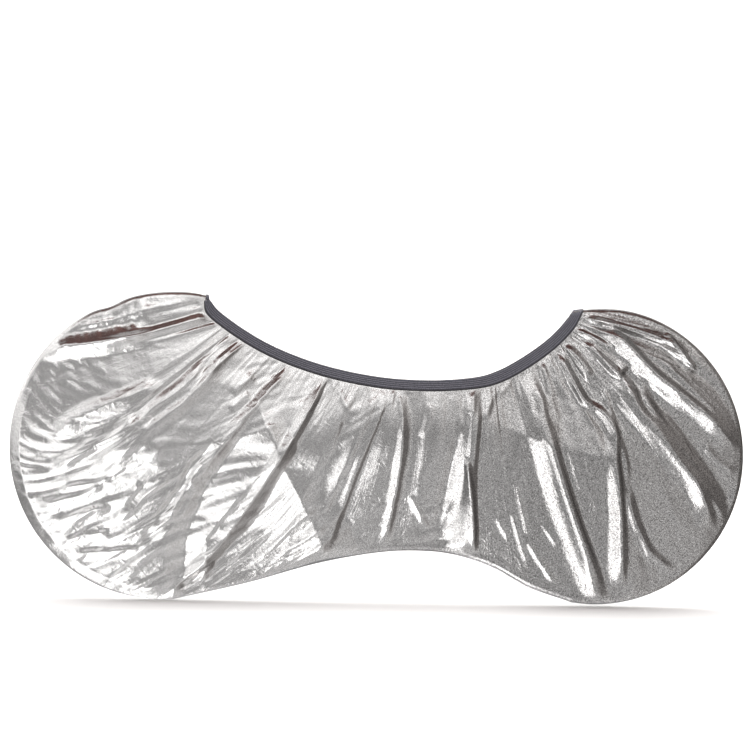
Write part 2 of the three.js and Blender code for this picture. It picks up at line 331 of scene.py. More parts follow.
@dataclass
class Cut:
    """The cover's outline and fullness, as its solids have them, with waves in the cloth under the mouth.

    Middle and mouth are places along x with their reach. Each row of mouth_waves is the length of a wave
    along the mouth, the share by which it makes the cloth fuller or slacker, and its phase.
    """

    front: Lobe = Lobe(-0.495, 0.3468, 0.346, 75, 275, ((76, 0.010, 20), (112, -0.007, 5)))
    rear: Lobe = Lobe(0.497, 0.348, 0.343, 261, 460.4, ((458, -0.005, 14),))
    bottom_edge: tuple[Point, ...] = (
        (-0.462, 0.003), (-0.300, 0.042), (-0.140, 0.089), (0.000, 0.116), (0.100, 0.121),
        (0.180, 0.112), (0.257, 0.087), (0.342, 0.043), (0.440, 0.011),
    )
    rim_points: tuple[Point, ...] = (
        (-0.421, 0.672), (-0.388, 0.632), (-0.284, 0.567), (-0.160, 0.520), (-0.025, 0.493), (0.100, 0.487),
        (0.210, 0.496), (0.270, 0.513), (0.332, 0.548), (0.393, 0.594), (0.436, 0.641),
    )
    binding_width: float = 0.025
    tyre_half: float = 0.014
    lobe_slope: float = 0.145
    middle_slope: float = 0.21
    middle: Point = (0.060, 0.260)
    mouth_half: float = 0.048
    mouth: Point = (0.090, 0.240)
    mouth_slope: float = 0.3
    mouth_waves: tuple[Place, ...] = ((0.110, 0.13, 0.6), (0.190, 0.13, 2.1))
    waves_from: float = -0.20
    waves_reach: float = 0.14
    shoulder: float = 0.016
    middle_shoulder: float = 0.045
    small_step: float = 0.001

    def __post_init__(self) -> None:
        """Lays out the seam and the rim."""
        bottom = Line.through(self.bottom_edge).points[1:-1]
        self.seam = Line(np.concatenate([self.front.arc(), bottom, self.rear.arc()]))
        ends = self.seam.at(np.array([self.binding_width, self.seam.length - self.binding_width]))
        self.front_crown, self.rear_crown = ends
        self.rim = Line.through((tuple(ends[0]), *self.rim_points, tuple(ends[1])))

    def mouth_edge(self, x: Array) -> Array:
        """Finds the top of the binding across from places on its lower edge.

        Args:
            x: Places on the rim.

        Returns:
            Points of the edge, which turns to lie along the seam at both crowns.
        """
        low = self.rim.at_x(x)
        along = self.rim.at_x(x + self.small_step) - self.rim.at_x(x - self.small_step)
        up = np.stack([-along[:, 1], along[:, 0]], -1)
        up *= self.binding_width / np.linalg.norm(up, axis=1, keepdims=True)
        edge = low + up
        ends = self.seam.at(np.array([0.0, self.seam.length]))
        for crown, end, plain in zip((self.front_crown, self.rear_crown), ends, (edge[0], edge[-1])):
            share = np.exp(-((np.linalg.norm(low - crown, axis=1) / self.binding_width) ** 2))
            edge = edge + share[:, None] * (end - plain)
        return edge

    def half_width(self, points: Array, below: Array) -> Array:
        """Finds how far the cloth stands from the seam's plane.

        Args:
            points: Places in the seam's plane.
            below: Their distances below the binding, negative inside it.

        Returns:
            The soft least of the slope up from the tyre and the slope down from the mouth.
        """
        x, inside = points[..., 0], self.seam.distance(points)
        in_middle = bell(x, *self.middle)
        slope = mix(self.lobe_slope, self.middle_slope, in_middle)
        turn = np.minimum(inside, self.tyre_half)
        from_tyre = np.sqrt(self.tyre_half**2 - (self.tyre_half - turn) ** 2)
        from_tyre = from_tyre + slope * np.maximum(0, inside - self.tyre_half)
        turns = 2 * np.pi * x
        fuller = sum(share * np.sin(turns / length + start) for length, share, start in self.mouth_waves)
        fuller = fuller * smooth_step((x - self.waves_from) / self.waves_reach)
        from_mouth = mix(self.tyre_half, self.mouth_half, bell(x, *self.mouth))
        from_mouth = from_mouth + self.mouth_slope * (below + fuller * np.maximum(below, 0))
        shoulder = mix(self.shoulder, self.middle_shoulder, in_middle)
        share = np.clip(0.5 + 0.5 * (from_mouth - from_tyre) / shoulder, 0, 1)
        return np.maximum(mix(from_mouth, from_tyre, share) - shoulder * share * (1 - share), 0)


@dataclass(frozen=True)
class Fold:
    """One main fold, from the rim by its middle point to the seam, with three heights."""

    rim: float
    mid_x: float
    mid_z: float
    seam: float
    high: float
    half: float
    low: float


# In millimetres: rim, mid_x, mid_z, seam, high, half, low
NEAR_FOLDS = tuple(
    Fold(*[size / 1000 for size in row])
    for row in (
        (-424, -558, 655, 316, 2, 3, 3),
        (-414, -579, 606, 382, -2, -3, -3),
        (-397, -590, 588, 413, 2, 2, 2),
        (-381, -592, 555, 486, -2, -3, -3),
        (-372, -602, 462, 625, 1, 2, 2),
        (-364, -600, 432, 692, 0, -1, -1),
        (-358, -588, 414, 753, 1, 1, 2),
        (-351, -562, 418, 795, -4, -4, -2),
        (-343, -538, 416, 844, 1, 1, 1),
        (-334, -513, 414, 880, -1, -1, -1),
        (-318, -487, 408, 929, 1, 0, -2),
        (-280, -452, 350, 989, 0, -3, -6),
        (-227, -403, 336, 1050, -5, -6, -3),
        (-211, -370, 338, 1086, 6, 7, 4),
        (-181, -338, 300, 1135, 1, 2, 2),
        (-151, -299, 264, 1177, -4, -4, -4),
        (-135, -272, 258, 1211, 7, 9, 8),
        (-119, -248, 256, 1243, -4, -5, -4),
        (-89, -210, 256, 1321, -1, -1, -1),
        (-66, -173, 256, 1465, 1, 3, 3),
        (-50, -146, 256, 1500, -1, 1, 2),
        (-13, -86, 288, 1534, 4, 4, 3),
        (12, -60, 298, 1557, -4, -4, -3),
        (28, -12, 300, 1620, 1, 2, 1),
        (40, 36, 310, 1691, 3, 3, 2),
        (56, 58, 311, 1715, -3, -3, -2),
        (106, 97, 306, 1770, 2, 1, 1),
        (171, 155, 303, 1817, -5, -5, -4),
        (203, 192, 300, 1880, 6, 7, 5),
        (224, 216, 300, 1911, -2, -2, -1),
        (256, 290, 288, 2069, -1, -2, -1),
        (286, 352, 292, 2177, -2, -4, -3),
        (313, 398, 294, 2224, 9, 12, 9),
        (341, 428, 296, 2253, -3, -3, -2),
        (370, 480, 305, 2276, 4, 3, 2),
        (386, 510, 315, 2300, 5, 5, 4),
        (400, 545, 330, 2370, -6, -6, -4),
        (414, 608, 400, 2523, 1, 2, 2),
        (420, 630, 412, 2546, 1, 1, 1),
        (427, 645, 424, 2587, 4, 7, 5),
        (432, 657, 440, 2628, -5, -7, -6),
        (437, 664, 478, 2699, 0, 1, 1),
        (442, 662, 548, 2769, 6, 8, 6),
        (447, 660, 584, 2851, -5, -6, -4),
        (451, 642, 613, 2969, 3, 5, 4),
        (454, 618, 638, 3057, -2, -3, -3),
        (457, 580, 661, 3127, 2, 3, 3),
    )
)
FAR_FOLDS = tuple(
    Fold(fold.rim, fold.mid_x, fold.mid_z, fold.seam, other.high, other.half, other.low)
    for fold, other in zip(NEAR_FOLDS, reversed(NEAR_FOLDS))
)


@dataclass(frozen=True)
class Crease:
    """A sharp crease: a tent along a line that starts nearer the mouth.

    Its height is negative for a trough. The flank towards the front crown is fore wide, of which it
    starts with the share opening, and the other is aft wide. The last fields are shares: of the way to
    where the fore flank has its full width, of the way in which the crease rises and falls at its ends,
    and of roundness in its section.
    """

    height: float
    fore: float
    aft: float
    opening: float
    points: tuple[Point, ...]
    widest_at: float = 0.9
    rise: float = 0.14
    fall: float = 0.22
    softness: float = 0.45
    curve_steps: int = 4
    least_width: float = 1e-4

    def heights(self, plane: Array) -> Array:
        """Raises the cloth along the crease.

        Args:
            plane: Places in the seam's plane.

        Returns:
            Heights there.
        """
        line = Line.through(self.points, self.curve_steps)
        reach = max(self.fore, self.aft)
        low, high = line.points.min(0) - reach, line.points.max(0) + reach
        near = np.all((plane > low) & (plane < high), -1)
        distance, side, along = line.nearest(plane[near])
        along = along / line.length
        fore = self.fore * mix(self.opening, 1.0, smooth_step(along / self.widest_at))
        width = np.where(side > 0, self.aft, fore)
        tent = np.clip(1 - distance / np.maximum(width, self.least_width), 0, 1)
        ends = smooth_step(along / self.rise) * smooth_step((1 - along) / self.fall)
        out = np.zeros(plane.shape[:-1])
        out[near] = self.height * ends * mix(tent, smooth_step(tent), self.softness)
        return out


# In millimetres, apart from the opening: height, fore, aft, opening, points
NEAR_CREASES = tuple(
    Crease(*[size / 1000 for size in sizes], opening, tuple((x / 1000, z / 1000) for x, z in points))
    for *sizes, opening, points in (
        # Crown of the front lobe
        (4, 14, 12, 1.0, ((-573, 683), (-595, 665), (-616, 644))),
        (2, 10, 10, 1.0, ((-444, 678), (-598, 633), (-708, 615))),
        (2, 9, 10, 1.0, ((-499, 670), (-631, 626), (-726, 603))),
        (6.2, 13, 15, 1.0, ((-385, 655), (-405, 646), (-487, 619), (-564, 596), (-640, 580))),
        (14, 30, 33, 1.0, ((-520, 609), (-564, 596), (-658, 577), (-757, 567), (-850, 557), (-960, 545))),
        # Long ridges of the front lobe
        (8.5, 32, 36, 0.7, ((-502, 496), (-568, 461), (-667, 419), (-716, 385), (-750, 344))),
        (8, 26, 20, 0.7, ((-557, 426), (-598, 377), (-664, 337), (-745, 279))),
        (
            7.2, 25, 18, 0.8,
            ((-407, 545), (-445, 489), (-522, 431), (-543, 402), (-624, 322), (-651, 283)),
        ),
        (
            7.5, 26, 26, 0.8,
            (
                (-314, 576), (-347, 564), (-375, 543), (-401, 501), (-445, 455),
                (-488, 420), (-559, 357), (-607, 300), (-633, 253),
            ),
        ),
        (2, 10, 11, 1.0, ((-328, 607), (-370, 586), (-412, 558))),
        # Crumpled foot of the front lobe
        (5, 18, 16, 0.4, ((-626, 262), (-698, 227), (-777, 205))),
        (4.5, 16, 18, 0.4, ((-609, 211), (-675, 196), (-758, 163))),
        (4.5, 15, 18, 0.4, ((-612, 157), (-669, 142), (-726, 124))),
        (4, 14, 16, 0.4, ((-540, 120), (-620, 108), (-699, 100))),
        (4, 16, 12, 1.0, ((-540, 268), (-570, 227), (-604, 177))),
        (4.5, 18, 12, 1.0, ((-474, 287), (-539, 230), (-595, 173))),
        (-4.5, 14, 18, 1.0, ((-429, 275), (-463, 209), (-540, 116))),
        (4, 14, 14, 0.5, ((-498, 184), (-563, 151), (-640, 125))),
        (3, 14, 14, 1.0, ((-525, 362), (-590, 334), (-645, 293))),
        (4, 14, 14, 0.6, ((-606, 275), (-664, 259), (-728, 251))),
        (-4.5, 14, 14, 1.0, ((-376, 353), (-428, 309), (-462, 239), (-546, 128))),
        (4, 14, 12, 1.0, ((-416, 284), (-457, 229), (-480, 184), (-533, 141))),
        # Between the front lobe and the middle
        (3.5, 16, 16, 1.0, ((-294, 511), (-318, 495), (-349, 472))),
        (3, 14, 14, 1.0, ((-304, 475), (-331, 452), (-352, 434))),
        (3, 12, 8, 1.0, ((-211, 536), (-286, 453), (-377, 332), (-416, 284))),
        (4.5, 18, 10, 1.0, ((-136, 511), (-222, 344), (-308, 205), (-410, 67))),
        (6, 14, 14, 1.0, ((-377, 94), (-409, 44), (-436, 24), (-467, 28))),
        # Middle
        (1.8, 10, 10, 1.0, ((-102, 489), (-92, 458), (-73, 436), (-56, 463))),
        (-3, 12, 12, 1.0, ((-87, 422), (-99, 372), (-112, 331))),
        (6.8, 20, 10, 0.7, ((9, 488), (-59, 305), (-88, 219), (-130, 101))),
        (4.2, 14, 10, 1.0, ((-16, 487), (-63, 371), (-116, 245), (-135, 179))),
        (2, 10, 8, 1.0, ((32, 479), (40, 420), (37, 375))),
        (4.8, 18, 10, 1.0, ((38, 429), (42, 357), (21, 194), (2, 126))),
        (3.5, 10, 10, 1.0, ((107, 461), (95, 413), (80, 381))),
        (2.5, 10, 8, 1.0, ((63, 251), (87, 209), (110, 166))),
        (4, 18, 9, 1.0, ((219, 479), (213, 425), (208, 356), (205, 311), (210, 243), (217, 107))),
        (12, 60, 12, 0.0, ((182, 345), (199, 261), (210, 188), (214, 105))),
        (-3, 14, 14, 1.0, ((173, 399), (158, 348), (138, 241), (126, 173))),
        (1.8, 10, 10, 1.0, ((159, 485), (167, 442), (173, 401))),
        (2.8, 18, 12, 1.0, ((196, 490), (196, 460), (193, 433))),
        (2.8, 16, 12, 1.0, ((255, 505), (240, 466), (225, 423))),
        (1.8, 10, 10, 1.0, ((287, 520), (273, 499), (262, 480))),
        # Rear lobe
        (9.8, 36, 10, 0.6, ((334, 546), (359, 474), (374, 412), (427, 252), (493, 93), (527, 26))),
        (3.5, 12, 10, 1.0, ((397, 417), (432, 327), (459, 250))),
        (6.8, 16, 8, 1.0, ((359, 569), (374, 508), (387, 440), (401, 367))),
        (8.5, 16, 14, 1.0, ((398, 584), (422, 539), (453, 480), (486, 456), (515, 429))),
        (5.5, 12, 10, 1.0, ((435, 640), (489, 614), (532, 585))),
        (7.5, 24, 10, 1.0, ((646, 636), (680, 596), (723, 547))),
        (8, 24, 16, 1.0, ((411, 600), (444, 567), (473, 522))),
        (10, 32, 12, 0.8, ((485, 470), (524, 409), (532, 335), (548, 211), (557, 88), (559, 28))),
        (6.2, 20, 12, 0.8, ((560, 273), (568, 245), (583, 200), (617, 137), (657, 103), (688, 88))),
        (
            15, 36, 18, 1.25,
            ((533, 540), (562, 497), (586, 456), (617, 423), (689, 333), (734, 272), (775, 172)),
        ),
        (5, 14, 18, 1.0, ((574, 552), (601, 485), (634, 424), (698, 350), (752, 271), (798, 203))),
        (15.5, 36, 14, 1.0, ((502, 655), (545, 615), (614, 548), (654, 517), (756, 440), (823, 365))),
        (9, 20, 22, 0.8, ((453, 665), (511, 656), (581, 641), (644, 620), (710, 588))),
        (9, 14, 30, 1.0, ((464, 612), (480, 595), (504, 564), (533, 540), (560, 570))),
        (3, 10, 9, 1.0, ((496, 523), (509, 473), (551, 346), (562, 277))),
        (2.5, 10, 8, 1.0, ((643, 570), (703, 512), (767, 451), (818, 397))),
        (2.5, 10, 8, 1.0, ((632, 464), (680, 408), (721, 340), (796, 255))),
        (3, 14, 12, 1.0, ((739, 380), (768, 348), (820, 313))),
        # Foot of the rear lobe
        (1.4, 9, 8, 1.0, ((265, 201), (279, 176), (296, 151))),
        (1.4, 9, 8, 1.0, ((301, 292), (317, 234), (342, 154))),
        (1.4, 9, 8, 1.0, ((296, 222), (316, 159), (343, 86))),
        (2.5, 10, 9, 1.0, ((337, 152), (366, 105), (406, 51))),
        (1.4, 9, 8, 1.0, ((363, 198), (385, 167), (411, 138))),
    )
)


@dataclass(frozen=True)
class Facet:
    """A flat place between two edges that part from a point and run down.

    It is sunk at its front edge and raised at its rear one, and raised is the share of the tilt that
    stands above the cloth. The cloth comes back within a flank beyond each edge.
    """

    slope: float
    deepest: float
    raised: float
    front_flank: float
    rear_flank: float
    front: tuple[Point, ...]
    rear: tuple[Point, ...]
    curve_steps: int = 4
    least_width: float = 1e-6

    def heights(self, plane: Array) -> Array:
        """Tilts the cloth on the facet.

        Args:
            plane: Places in the seam's plane.

        Returns:
            Heights there.
        """
        x, z = plane[..., 0], plane[..., 1]
        edges = [Line.through(points, self.curve_steps).points[::-1] for points in (self.front, self.rear)]
        front, rear = (np.interp(z, edge[:, 1], edge[:, 0]) for edge in edges)
        wide = np.maximum(rear - front, self.least_width)
        depth = np.minimum(self.slope * wide, self.deepest)
        depth = np.where(z < self.rear[0][1], depth, 0)
        tilted = np.clip((x - front) / wide, 0, 1) - 1 + self.raised
        beyond = np.maximum(np.maximum((front - x) / self.front_flank, (x - rear) / self.rear_flank), 0)
        return depth * tilted * np.clip(1 - beyond, 0, 1)


NEAR_FACETS = (
    Facet(
        slope=0.27,
        deepest=0.027,
        raised=0.5,
        front_flank=0.045,
        rear_flank=0.045,
        front=(
            (-0.281, 0.438), (-0.307, 0.394), (-0.335, 0.355),
            (-0.371, 0.298), (-0.399, 0.253), (-0.441, 0.140),
        ),
        rear=(
            (-0.281, 0.438), (-0.267, 0.408), (-0.239, 0.341),
            (-0.273, 0.296), (-0.310, 0.255), (-0.396, 0.141),
        ),
    ),
    Facet(
        slope=0.22,
        deepest=0.034,
        raised=0.5,
        front_flank=0.022,
        rear_flank=0.080,
        front=(
            (-0.228, 0.303), (-0.247, 0.256), (-0.280, 0.194),
            (-0.328, 0.137), (-0.380, 0.085), (-0.440, 0.029),
        ),
        rear=(
            (-0.224, 0.303), (-0.186, 0.239), (-0.145, 0.168),
            (-0.133, 0.128), (-0.128, 0.087), (-0.122, 0.044),
        ),
    ),
)


@dataclass(frozen=True)
class Patch:
    """A crumpled place on the cloth: its middle, its reach and how much it is crumpled."""

    x: float
    z: float
    reach: float
    amount: float


PATCHES = tuple(
    Patch(*row)
    for row in (
        (-0.660, 0.170, 0.150, 1.0),
        (-0.520, 0.120, 0.160, 1.0),
        (-0.400, 0.200, 0.120, 0.7),
        (-0.480, 0.280, 0.110, 0.5),
        (-0.740, 0.330, 0.110, 0.35),
        (-0.700, 0.520, 0.110, 0.3),
        (-0.590, 0.660, 0.080, 0.6),
        (-0.220, 0.130, 0.110, 0.9),
        (0.080, 0.150, 0.110, 0.5),
        (0.170, 0.160, 0.070, 0.6),
        (0.420, 0.500, 0.090, 0.7),
        (0.520, 0.460, 0.090, 0.5),
        (0.680, 0.600, 0.080, 0.6),
        (-0.100, 0.430, 0.090, 0.5),
        (-0.300, 0.480, 0.090, 0.4),
    )
)


@dataclass
class SidePanel:
    """One side of the cover: a sheet of cloth from the mouth to the seam, gathered by the binding.

    Pairs are the two ends of a range, or a place and its reach.
    """

    name: str
    node: str
    side: Side
    cut: Cut
    folds: tuple[Fold, ...]
    creases: tuple[Crease | Facet, ...]
    seed: int
    front_edge: float = 0.270
    rear_edge: float = 0.180
    column_step: float = 0.0062
    fine_step: float = 0.0042
    fine_places: Point = (0.60, 1.30)
    fewest_columns: int = 5
    end_crowding: float = 1.5
    rows: int = 140
    row_crowding: float = 1.25
    hidden_rows: int = 3
    hidden_share: float = 0.85
    fold_start: float = 0.055
    fold_end: float = 0.030
    fold_share: float = 0.6
    height_places: Place = (0.1, 0.5, 0.9)
    crispness: float = 0.55
    crease_start: float = 0.02
    least_half: float = 0.003
    gathers: int = 150
    gather_shift: float = 0.003
    gather_reach: Point = (0.0018, 0.0045)
    gather_height: float = 0.0013
    gather_fade: Point = (0.03, 0.16)
    gather_start: float = 0.012
    streaks: int = 320
    streak_lean: float = 0.035
    streak_reach: Point = (0.004, 0.011)
    streak_place: Point = (0.15, 0.95)
    streak_fade: Point = (0.08, 0.3)
    streak_height: float = 0.0005
    streak_ends: float = 2.2
    least_crumpled: float = 0.10
    crumple_start: float = 0.03
    lean: Point = (1.0, -0.4)
    lean_change: Point = (1.1, 1.2)
    under_slope: float = 0.55
    under_round: float = 0.0025
    under_angle: Point = (232.0, 62.0)
    under_share: float = 1.6

    def seam_places(self) -> Array:
        """Lengths along the seam where the folds and the two side edges end."""
        last = self.cut.seam.length - self.rear_edge
        return np.array([self.front_edge, *[f.seam for f in self.folds], last])

    def lines(self) -> tuple[Array, Array]:
        """Spreads the mesh's columns over the folds.

        Returns:
            For each column, the fold before it and the share of the way to the next one.
        """
        seams = self.seam_places()
        fine_from, fine_to = self.fine_places
        index, share = [], []
        for i, width in enumerate(np.diff(seams)):
            step = self.fine_step if fine_from < seams[i] < fine_to else self.column_step
            steps = max(self.fewest_columns, math.ceil(width / step))
            index += [i] * steps
            share += list(np.arange(steps) / steps)
        index, share = np.array([*index, len(seams) - 2]), np.array([*share, 1.0])
        first, last = index == 0, index == len(seams) - 2
        share[first] **= self.end_crowding
        share[last] = 1 - (1 - share[last]) ** self.end_crowding
        return index, share

    def fold_curves(self, down: Array) -> Array:
        """Draws every fold's line and the two side edges, which run along the seam at the crowns.

        Args:
            down: Shares of the way from the rim to the seam.

        Returns:
            Points, by fold and share.
        """
        cut = self.cut
        width, length = cut.binding_width, cut.seam.length
        first = cut.seam.at(mix(width, self.front_edge, down))
        last = cut.seam.at(mix(length - width, length - self.rear_edge, down))
        start = cut.rim.at_x(np.array([f.rim for f in self.folds]))[:, None]
        middle = np.array([(f.mid_x, f.mid_z) for f in self.folds])[:, None]
        end = cut.seam.at(np.array([f.seam for f in self.folds]))[:, None]
        t = down[None, :, None]
        curves = start * (1 - t) * (1 - 2 * t) + middle * 4 * t * (1 - t) + end * t * (2 * t - 1)
        return np.concatenate([first[None], curves, last[None]])

    def plane(self, index: Array, share: Array, down: Array, rim_x: Array) -> Array:
        """Lays the mesh out in the seam's plane.

        Args:
            index: The fold before each column.
            share: The share of the way to the next fold.
            down: The share of the way from the rim to the seam, by row.
            rim_x: Each column's place on the rim.

        Returns:
            Points by column and row, which end on the rim and on the seam.
        """
        seams, curves = self.seam_places(), self.fold_curves(down)
        plane = mix(curves[index], curves[index + 1], share[:, None, None])
        on_seam = self.cut.seam.at(mix(seams[index], seams[index + 1], share))
        plane += (down**2)[None, :, None] * (on_seam - plane[:, -1])[:, None]
        plane += ((1 - down) ** 2)[None, :, None] * (self.cut.rim.at_x(rim_x) - plane[:, 0])[:, None]
        return plane

    def fold_heights(self, index: Array, share: Array, down: Array) -> Array:
        """Raises the main folds.

        Args:
            index: The fold before each column.
            share: The share of the way to the next fold.
            down: The share of the way from the rim to the seam, by row.

        Returns:
            Heights by column and row.
        """
        rows = [np.interp(down, self.height_places, (f.high, f.half, f.low)) for f in self.folds]
        heights = np.stack([np.zeros_like(down), *rows, np.zeros_like(down)])
        crisp = mix(smooth_step(share), share, self.crispness)
        return mix(heights[index], heights[index + 1], crisp[:, None])

    def gather_heights(self, rim: Array, below: Array) -> Array:
        """Small pleats that the elastic draws in, which die out below the binding.

        Args:
            rim: Length along the rim, by column.
            below: Distance below the binding, by column and row.

        Returns:
            Heights.
        """
        rng = np.random.default_rng(self.seed)
        out = np.zeros_like(below)
        for place in np.linspace(rim[0], rim[-1], self.gathers):
            middle = place + rng.normal(0, self.gather_shift)
            reach = rng.uniform(*self.gather_reach)
            height = rng.normal(0, self.gather_height)
            fade = rng.uniform(*self.gather_fade)
            out += height * bell(rim, middle, reach)[:, None] * np.exp(-((below / fade) ** 2))
        return out * smooth_step(below / self.gather_start)

    def streak_heights(self, across: Array, along: Array) -> Array:
        """Fine creases of pulled cloth, which run with the folds.

        Args:
            across: Place across the folds, by column, in metres along the seam.
            along: Share of the way down, by row.

        Returns:
            Heights.
        """
        rng = np.random.default_rng(self.seed + 1)
        out = np.zeros((len(across), len(along)))
        for _ in range(self.streaks):
            middle = rng.uniform(across[0], across[-1])
            lean = rng.normal(0, self.streak_lean)
            reach = rng.uniform(*self.streak_reach)
            place, fade = rng.uniform(*self.streak_place), rng.uniform(*self.streak_fade)
            height = rng.normal(0, self.streak_height)
            shift = across[:, None] - middle - lean * (along[None, :] - place)
            near = np.abs(along - place) < self.streak_ends * fade
            out[:, near] += (height * np.exp(-np.abs(shift) / reach) * bell(along, place, fade))[:, near]
        return out

    def turned_under(self, half: Array, plane: Array, inside: Array) -> Array:
        """Draws the cloth in under the front wheel, which leaves a strip that faces the floor.

        Args:
            half: Distances from the seam's plane.
            plane: Places in the seam's plane.
            inside: Their distances from the seam.

        Returns:
            The new distances.
        """
        off = plane - (self.cut.front.x, self.cut.front.z)
        angle = np.degrees(np.arctan2(off[..., 1], off[..., 0])) % 360
        share = np.clip(self.under_share * bell(angle, *self.under_angle), 0, 1)
        return mix(half, np.minimum(half, self.under_round + self.under_slope * inside), share)

    def bound_edge(self, low: Array, rim_x: Array) -> Array:
        """Runs the cloth up inside the binding.

        Args:
            low: The cloth's top row in the seam's plane, by column.
            rim_x: Each column's place on the rim.

        Returns:
            Points by column and row, from the top down.
        """
        cut = self.cut
        up = np.linspace(self.hidden_share, 0, self.hidden_rows, endpoint=False)[None, :, None]
        plane = mix(low[:, None], cut.mouth_edge(rim_x)[:, None], up)
        half = cut.half_width(plane, -cut.binding_width * np.broadcast_to(up[..., 0], plane.shape[:2]))
        half[0] = half[-1] = 0
        return stand_off(plane, half, self.side)

    def flow(self, points: Array, across: Array) -> Array:
        """Measures the cloth along its folds, for its crinkles and its finish.

        Args:
            points: The cloth, by column and row.
            across: Place across the folds, by column.

        Returns:
            Metres across the folds, along them, and across with a lean.
        """
        along = run_lengths(points[len(points) // 2])
        start, reach = self.lean_change
        lean = mix(*self.lean, smooth_step((across - start) / reach))
        leaning = across[:, None] + lean[:, None] * along
        return np.stack(np.broadcast_arrays(across[:, None], along[None, :], leaning), -1)

    def looseness(self, plane: Array, below: Array, drawn: Array, free: Array) -> Array:
        """Finds how free the cloth is to crumple.

        Args:
            plane: Places in the seam's plane.
            below: Their distances below the binding.
            drawn: The spacing of the columns there, as a share of that at the seam.
            free: How far the seam lets go of the cloth, from 0 to 1.

        Returns:
            Freedom from 0 to 1 by column and row, with the rows inside the binding.
        """
        crumpled = np.full(below.shape, self.least_crumpled)
        for patch in PATCHES:
            spread = np.exp(-(((plane - (patch.x, patch.z)) / patch.reach) ** 2).sum(-1))
            crumpled += (1 - crumpled) * patch.amount * spread
        loose = crumpled * drawn * free * smooth_step(below / self.crumple_start)
        loose[0] = loose[-1] = 0
        return np.pad(loose, ((0, 0), (self.hidden_rows, 0)))

    def grid(self) -> tuple[Array, Array, Array]:
        """Lays out the cloth.

        Returns:
            The points by column and row, the flow along the folds, and how free the cloth is to crumple.
        """
        cut = self.cut
        index, share = self.lines()
        down = 1 - (1 - np.linspace(0, 1, self.rows)) ** self.row_crowding
        rims = np.array([cut.front_crown[0], *[f.rim for f in self.folds], cut.rear_crown[0]])
        rim_x = mix(rims[index], rims[index + 1], share)
        plane = self.plane(index, share, down, rim_x)
        below, inside = cut.rim.distance(plane), cut.seam.distance(plane)
        free = smooth_step(inside / self.fold_end)
        step = np.linalg.norm(np.gradient(plane, axis=0), axis=-1)
        drawn = np.clip(step / step[:, -1:], 0, 1)
        across = run_lengths(plane[:, -1])
        rim_place = np.interp(rim_x, cut.rim.points[:, 0], cut.rim.lengths)
        height = self.fold_heights(index, share, down)
        height *= self.fold_share * smooth_step(below / self.fold_start)
        height += self.gather_heights(rim_place, below) + self.streak_heights(across, down) * drawn
        for crease in self.creases:
            height += crease.heights(plane) * smooth_step(below / self.crease_start)
        half = self.turned_under(cut.half_width(plane, below), plane, inside)
        width = np.maximum(half + height * free, np.minimum(half, self.least_half))
        width[0] = width[-1] = 0
        width[:, -1] = 0
        cloth = stand_off(plane, width, self.side)
        points = np.concatenate([self.bound_edge(plane[:, 0], rim_x), cloth], 1)
        return points, self.flow(points, across), self.looseness(plane, below, drawn, free)

    def build(self, finish: Material) -> Object:
        """Makes the panel.

        Args:
            finish: The cloth's material.

        Returns:
            The panel, at its place.
        """
        points, flow, loose = self.grid()
        number = np.arange(loose.size).reshape(loose.shape)
        corners = (number[:-1, :-1], number[:-1, 1:], number[1:, 1:], number[1:, :-1])
        quads = np.stack(corners, -1).reshape(-1, 4)
        if self.side is Side.FAR:
            quads = quads[:, ::-1]
        mesh = bpy.data.meshes.new(self.name)
        mesh.from_pydata(points.reshape(-1, 3).tolist(), [], quads.tolist())
        mesh.attributes.new("flow", "FLOAT_VECTOR", "POINT").data.foreach_set("vector", flow.ravel())
        mesh.attributes.new("loose", "FLOAT", "POINT").data.foreach_set("value", loose.ravel())
        mesh.shade_smooth()
        piece = Crumple(seed=self.seed).apply(link(mesh), finish)
        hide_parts(self.node)
        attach(piece, BODY)
        return piece


